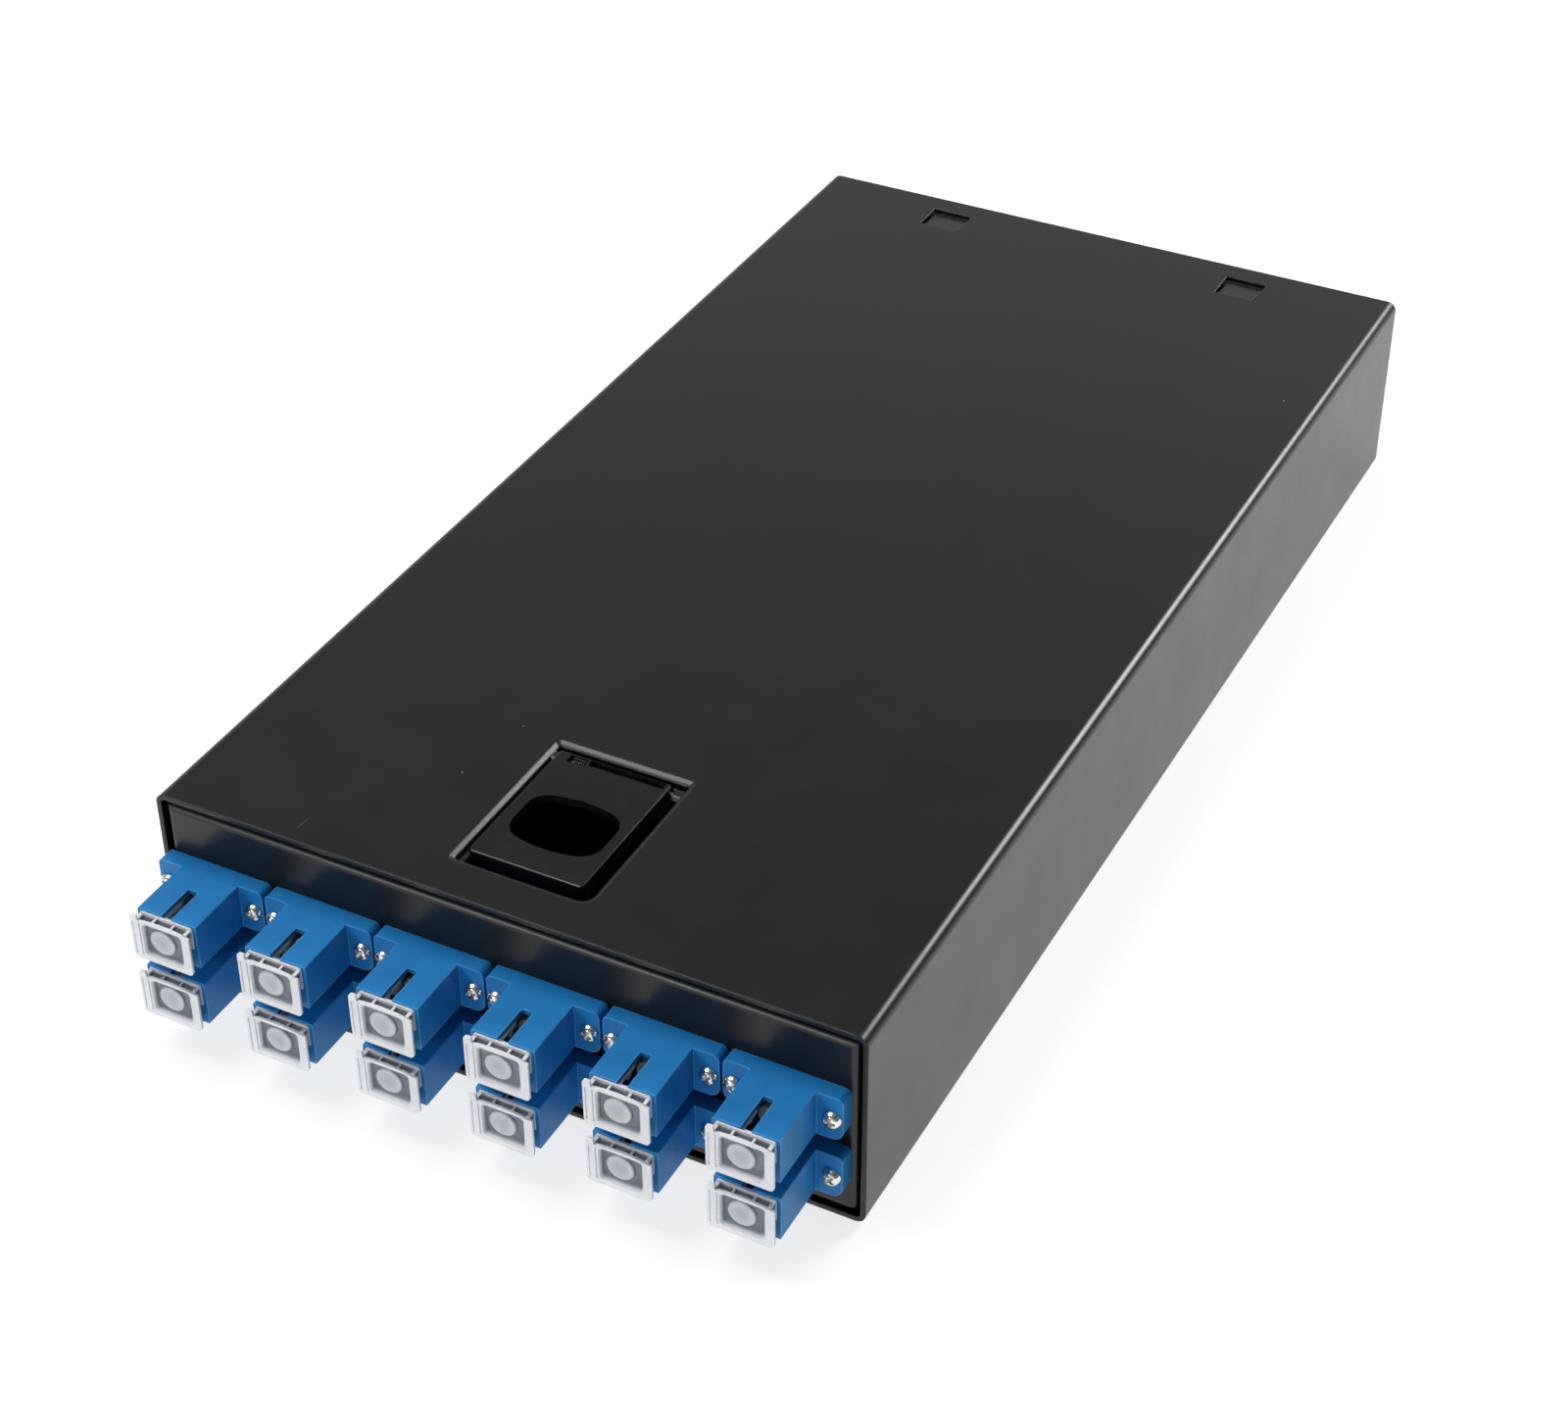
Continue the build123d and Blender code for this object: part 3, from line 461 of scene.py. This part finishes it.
def cap_clear():
    """Frosted at the plate and the lip, clearer where the wall is thin."""
    a = Mat("cap clear")
    a.set(ior=1.46, spec=0.5)
    sp = a.node("ShaderNodeSeparateXYZ")
    a.link(a.tc, sp.inputs[0])
    depth = a.math("ABSOLUTE", a.math("ADD", sp.outputs[1], 0.01685))
    frost = a.remap(depth, 0.0, 1.0, 0.00040, 0.00085)
    # the tops of the ribs are frosted too; the sloping floor between them lies in the dark and is tinted with painted
    # shade
    rib = a.remap(sp.outputs[2], 0.0, 1.0, 0.00352, 0.00385)
    frost = a.math("MAXIMUM", frost, rib)
    window_floor_painted_shade = a.math("MULTIPLY", a.remap(sp.outputs[2], 0.0, 1.0, 0.0027, 0.0030), a.math("SUBTRACT", 1.0, rib))
    window_floor_painted_shade = a.math("MULTIPLY", window_floor_painted_shade, a.remap(sp.outputs[1], 0.0, 1.0, -0.0173, -0.0169))
    haze = a.remap(a.noise(420.0, 3.0, 0.6), 0.0, 1.0)
    thick = a.mix(haze, (0.86, 0.885, 0.925), (0.95, 0.96, 0.98))
    thin = a.mix(haze, (0.30, 0.355, 0.45), (0.44, 0.49, 0.58))
    thin = a.mix(a.math("MULTIPLY", window_floor_painted_shade, 0.85), thin, (0.040, 0.072, 0.140))
    a.link(a.mix(frost, thin, thick), a.b.inputs["Base Color"])
    a.link(a.remap(frost, 0.72, 0.24, 0.0, 1.0), a.b.inputs["Transmission Weight"])
    a.link(a.remap(a.noise(800.0, 3.0, 0.6), 0.28, 0.42), a.b.inputs["Roughness"])
    a.normal(a.bump(a.noise(520.0, 2.0, 0.5), 0.000012))
    return a


def lid_clear():
    a = Mat("lid clear")
    a.set(ior=1.49, trans=0.90, spec=0.5)
    haze = a.remap(a.noise(40.0, 3.0, 0.6), 0.0, 1.0)
    a.link(a.mix(haze, (0.86, 0.88, 0.88), (0.93, 0.95, 0.95)), a.b.inputs["Base Color"])
    a.link(a.remap(a.noise(60.0, 3.0, 0.6), 0.05, 0.13), a.b.inputs["Roughness"])
    a.normal(a.bump(a.noise(160.0, 2.0, 0.5), 0.000020))
    return a


M["adapter_blue"] = adapter_blue()
M["cap_clear"] = cap_clear()
M["lid_clear"] = lid_clear()

node_slot = {s["node"]: s["material_slot"] for s in frame["record"]["subparts"]}
for name, ob in NODES.items():
    key = {"outer_sleeve": "sleeve_coat", "latch_strike": "strike_painted_light"}.get(name, node_slot[name])
    if not ob.material_slots:
        ob.data.materials.append(M[key].m)
    for s in ob.material_slots:
        s.material = M[key].m


def dress(ob, slot_name, material=None):
    ob.data.materials.clear()
    ob.data.materials.append(M[material or slot_name].m)
    return ob


# ---------------------------------------------------------------------------
# adapter housing: flange with two ears, body, port with key slots
# local frame: centre of the port on the face of the panel, -Y to the front
# ---------------------------------------------------------------------------
def make_housing():
    hb = BODY_H / 2
    o = prism(round_pts(-FLANGE_W / 2, FLANGE_W / 2, -hb, hb, (2.3, 2.3, 1.1, 1.1), 8), "y", -FLANGE_T, 0.0)
    add(o, prism(round_pts(-BODY_W / 2, BODY_W / 2, -hb, hb, (0.28, 0.28, 0.28, 0.28), 3), "y", -REACH_F, REACH_R))
    cut(o, block(-PORT_W / 2, PORT_W / 2, -REACH_F - 1, REACH_R + 1, -PORT_H / 2, PORT_H / 2))
    cut(o, prism(round_pts(-1.05, 1.05, -REACH_F - 1, -REACH_F + 8.0, (0, 0, 0.35, 0.35), 4), "z", 0.0, hb + 1))
    cut(o, prism(round_pts(-1.05, 1.05, REACH_R - 8.0, REACH_R + 1, (0.35, 0.35, 0, 0), 4), "z", 0.0, hb + 1))
    for s in (-1, 1):
        cut(o, lathe([(0, -10), (1.1, -10), (1.1, 5), (0, 5)], (s * SCREW_X, 0.0), 32))
    tidy(o)
    soften(o, 0.17, 3, 34.0)
    smooth(o, 50.0)
    return to_metres(o)


# ---------------------------------------------------------------------------
# dust cap: spool-shaped head with a dished front, hollow plug
# ---------------------------------------------------------------------------
YF = -REACH_F - 0.06


def ring_y(u0, u1, v0, v1, r, y, seg=6):
    return [(p[0], y, p[1]) for p in round_pts(u0, u1, v0, v1, (r, r, r, r), seg)]


def make_cap():
    top = YF + 0.06

    def ahead(p):
        return top - p

    # lip against the adapter, waist that slopes up towards the plate
    o = prism(round_pts(-5.49, 5.49, -3.99, 4.34, (0.5, 0.5, 0.45, 0.45), 5), "y", ahead(0.45), ahead(0.07))
    add(o, prism([(ahead(0.1), -3.88), (ahead(0.1), 2.38), (ahead(1.05), 2.38), (ahead(1.71), 3.46), (ahead(1.71), -3.88)], "x", -4.88, 4.88))
    # front plate: the left end stands higher, the rest of its top edge is slightly arched
    edge = [(-6.34, -4.0), (-6.34, 4.2), (-6.28, 4.45), (-6.14, 4.68), (-5.92, 4.83), (-5.65, 4.89), (-4.91, 4.89), (-4.76, 3.74)]
    edge += [(x, 4.14 - 0.0166 * x * x) for x in (-3.6, -2.4, -1.2, 0.0, 1.2, 2.4, 3.6)]
    edge += [(4.88, 3.74), (6.09, 3.54), (6.09, -4.0)]
    edge += [(5.2 + 0.89 * math.cos(t), -4.0 - 0.89 * math.sin(t)) for t in (0.4, 0.8, 1.2, 1.57)]
    edge += [(-5.45 - 0.89 * math.sin(t), -4.0 - 0.89 * math.cos(t)) for t in (0.0, 0.4, 0.8, 1.2)]
    add(o, prism(edge, "y", ahead(2.19), ahead(1.7)))
    # ribs between lip and plate, three open windows between them
    for x0, x1 in ((-5.43, -4.72), (-2.08, -1.67), (1.77, 2.18), (4.77, 5.38)):
        add(o, block(x0, x1, ahead(1.75), ahead(0.4), 2.0, 3.98))
    # hollow plug, with a slot in its top wall under the key slot of the port
    add(o, prism(round_pts(-4.38, 4.38, -3.58, 3.58, (0.3, 0.3, 0.3, 0.3), 4), "y", ahead(0.1), YF + 5.88))
    cut(o, prism(round_pts(-3.65, 3.65, -2.85, 2.85, (0.3, 0.3, 0.3, 0.3), 4), "y", ahead(-0.6), ahead(-7.5)))
    cut(o, block(-3.65, 3.65, ahead(0.55), ahead(-1.0), -2.85, 1.7))
    cut(o, block(-1.04, 1.04, ahead(-0.9), ahead(-7.5), 1.5, 4.5))
    # the lower right of the waist and lip is cut away
    cut(o, block(4.55, 7.5, ahead(1.69), ahead(-0.3), -4.6, -0.2))
    # dished front with sloping walls
    cut(o, loft([
        ring_y(-4.06, 4.56, -3.86, 3.56, 0.9, ahead(2.35)),
        ring_y(-3.86, 4.36, -3.66, 3.36, 0.8, ahead(2.02)),
        ring_y(-3.46, 3.78, -2.88, 2.70, 0.6, ahead(1.35)),
    ]))
    # two upright grooves in the left band
    for x in (-5.75, -4.42):
        cut(o, block(x - 0.16, x + 0.16, ahead(2.4), ahead(2.0), -3.9, 3.3))
    # low round boss with a hollowed face
    prof = [(0, ahead(1.76)), (0.8, ahead(1.77)), (1.6, ahead(1.80)), (2.1, ahead(1.84)), (2.40, ahead(1.82)), (2.60, ahead(1.71)), (2.69, ahead(1.52)), (2.70, ahead(1.25)), (0, ahead(1.25))]
    add(o, lathe(prof, (-0.1, 0.0), 44))
    tidy(o, 0.3)
    soften(o, 0.085, 2, 40.0)
    smooth(o, 42.0)
    return to_metres(o)


# ---------------------------------------------------------------------------
# pan-head screw with a cross recess and a thread
# ---------------------------------------------------------------------------
def make_screw():
    y0 = -FLANGE_T
    head = [(0, -1.30), (0.55, -1.295), (0.93, -1.25), (1.23, -1.13), (1.46, -0.93), (1.61, -0.66), (1.69, -0.36), (1.72, -0.12), (1.70, -0.03), (1.62, 0.0)]
    prof = [(r, y0 + h) for r, h in head]
    # thread: fine ridges up to the point
    y, pitch = y0 + 0.0, 0.4
    prof.append((0.97, y0 + 0.0))
    k = 0
    while y < y0 + 5.6:
        prof.append((0.80, y + 0.10))
        prof.append((0.985, y + 0.26))
        prof.append((0.985, y + 0.32))
        y += pitch
        k += 1
    prof += [(0.75, y0 + 5.75), (0.62, y0 + 5.98), (0.0, y0 + 5.98)]
    o = lathe(prof, (0, 0), 30)
    # cross recess: two tapered blades
    for turn in (0, 1):
        rings = []
        for h, l, w in ((-1.9, 1.20, 0.31), (-1.29, 1.12, 0.29), (-0.55, 0.35, 0.17)):
            q = [(-l, -w), (l, -w), (l, w), (-l, w)]
            if turn:
                q = [(-b, a) for a, b in q]
            rings.append([(u, y0 + h, v) for u, v in q])
        cut(o, loft(rings))
    tidy(o, 0.1)
    bm = bmesh.new()
    bm.from_mesh(o.data)
    bm.to_mesh(o.data)
    bm.free()
    soften(o, 0.045, 2, 48.0)
    smooth(o, 40.0)
    return to_metres(o)


housing = make_housing()
cap = make_cap()
screw = make_screw()
dress(housing, "adapter_blue")
dress(cap, "cap_clear")
dress(screw, "nickel_screw")

for n, (x, z) in enumerate(PORTS, 1):
    place = Vector((x, PANEL, z)) * 0.001
    h = bpy.data.objects.new("housing_%02d" % n, housing.data)
    c = bpy.data.objects.new("cap_body_%02d" % n, cap.data)
    for o in (h, c):
        bpy.context.scene.collection.objects.link(o)
        o.location = place
    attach(h, "drawer")
    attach(c, "cap_%02d" % n)
    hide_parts("adapter_%02d" % n)
    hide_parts("dust_cap_%02d" % n)

screws = []
for n, (x, z) in enumerate(PORTS, 1):
    for s in (-1, 1):
        o = bpy.data.objects.new("s", screw.data)
        bpy.context.scene.collection.objects.link(o)
        turn = 30 + 37 * n + 20 * s
        o.matrix_world = Matrix.Translation(Vector((x + s * SCREW_X, PANEL, z)) * 0.001) @ Matrix.Rotation(math.radians(turn), 4, "Y")
        screws.append(o)
bpy.context.view_layer.update()
screw_set = join("pan_screws", screws)
dress(screw_set, "nickel_screw")
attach(screw_set, "drawer")
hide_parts("adapter_screws")
for o in (housing, cap, screw):
    bpy.data.objects.remove(o)


# ---------------------------------------------------------------------------
# floor, light, camera
# ---------------------------------------------------------------------------
floor = raw("floor", [(-6, -6, 0), (6, -6, 0), (6, 6, 0), (-6, 6, 0)], [(0, 1, 2, 3)])
fm = Mat("floor white")
fm.set(rough=0.9, spec=0.1)
cloud = fm.remap(fm.noise(1.3, 2.0, 0.5), 0.0, 1.0)
fm.link(fm.mix(cloud, (0.30, 0.30, 0.30), (0.32, 0.32, 0.32)), fm.b.inputs["Base Color"])
fm.b.inputs["Emission Color"].default_value = (1.0, 1.0, 0.985, 1.0)
fm.b.inputs["Emission Strength"].default_value = 0.76
floor.data.materials.append(fm.m)
floor.location.z = -0.0002

scene = bpy.context.scene
world = bpy.data.worlds.new("studio")
world.use_nodes = True
scene.world = world
wt = world.node_tree
bg = wt.nodes["Background"]
wtc = wt.nodes.new("ShaderNodeTexCoord")
wsep = wt.nodes.new("ShaderNodeSeparateXYZ")
wramp = wt.nodes.new("ShaderNodeValToRGB")
wt.links.new(wtc.outputs["Generated"], wsep.inputs[0])
wt.links.new(wsep.outputs[2], wramp.inputs[0])
# the room is darker to the right, so the sides of the adapters stay deeper than their tops
wside = wt.nodes.new("ShaderNodeMapRange")
wside.inputs["From Min"].default_value = 0.0
wside.inputs["From Max"].default_value = 0.9
wside.inputs["To Min"].default_value = 1.0
wside.inputs["To Max"].default_value = 0.25
wt.links.new(wsep.outputs[0], wside.inputs["Value"])
wmul = wt.nodes.new("ShaderNodeVectorMath")
wmul.operation = "SCALE"
wt.links.new(wramp.outputs[0], wmul.inputs[0])
wt.links.new(wside.outputs["Result"], wmul.inputs["Scale"])
wt.links.new(wmul.outputs["Vector"], bg.inputs[0])
ramp = wramp.color_ramp
ramp.elements[0].position = 0.0
ramp.elements[0].color = (0.62, 0.62, 0.615, 1)
ramp.elements[1].position = 1.0
ramp.elements[1].color = (0.25, 0.25, 0.26, 1)
for pos, v in ((0.30, 0.66), (0.47, 0.58), (0.66, 0.10), (0.80, 0.22)):
    e = ramp.elements.new(pos)
    e.color = (v, v, v * 1.0, 1)
bg.inputs[1].default_value = 1.0


def softbox(name, where, aim, w, h, radiance, color=(1, 1, 1)):
    data = bpy.data.lights.new(name, "AREA")
    data.shape = "RECTANGLE"
    data.size = w
    data.size_y = h
    data.energy = radiance * math.pi * w * h
    data.color = color
    ob = bpy.data.objects.new(name, data)
    scene.collection.objects.link(ob)
    ob.location = where
    ob.rotation_euler = (Vector(aim) - Vector(where)).to_track_quat("-Z", "Y").to_euler()
    return ob


softbox("overhead", (-0.36, -0.10, 0.92), (0, 0, 0), 0.50, 0.50, 8.0)
softbox("back_right", (0.45, 0.94, 0.78), (0, 0, 0.02), 0.46, 0.46, 20.0)
softbox("front_left", (-0.48, -1.26, 0.46), (0, -0.13, 0.03), 0.42, 0.19, 15.0)

cam_data = bpy.data.cameras.new("camera")
cam_data.sensor_fit = "HORIZONTAL"
cam_data.sensor_width = 36.0
cam_data.lens = 69.2586
cam_data.clip_start = 0.01
cam_data.clip_end = 50.0
cam = bpy.data.objects.new("camera", cam_data)
scene.collection.objects.link(cam)
right = Vector((0.8891615861, 0.4575833754, -0.0030213183))
down = Vector((0.2715022787, -0.5328665305, -0.8014610242))
ahead = Vector((-0.3683452001, 0.7118080607, -0.5980393786))
rot = Matrix((right, -down, -ahead)).transposed()
cam.matrix_world = Matrix.Translation((0.22073, -0.45456, 0.37150)) @ rot.to_4x4()
scene.camera = cam
scene.view_settings.view_transform = "Standard"
scene.view_settings.look = "None"
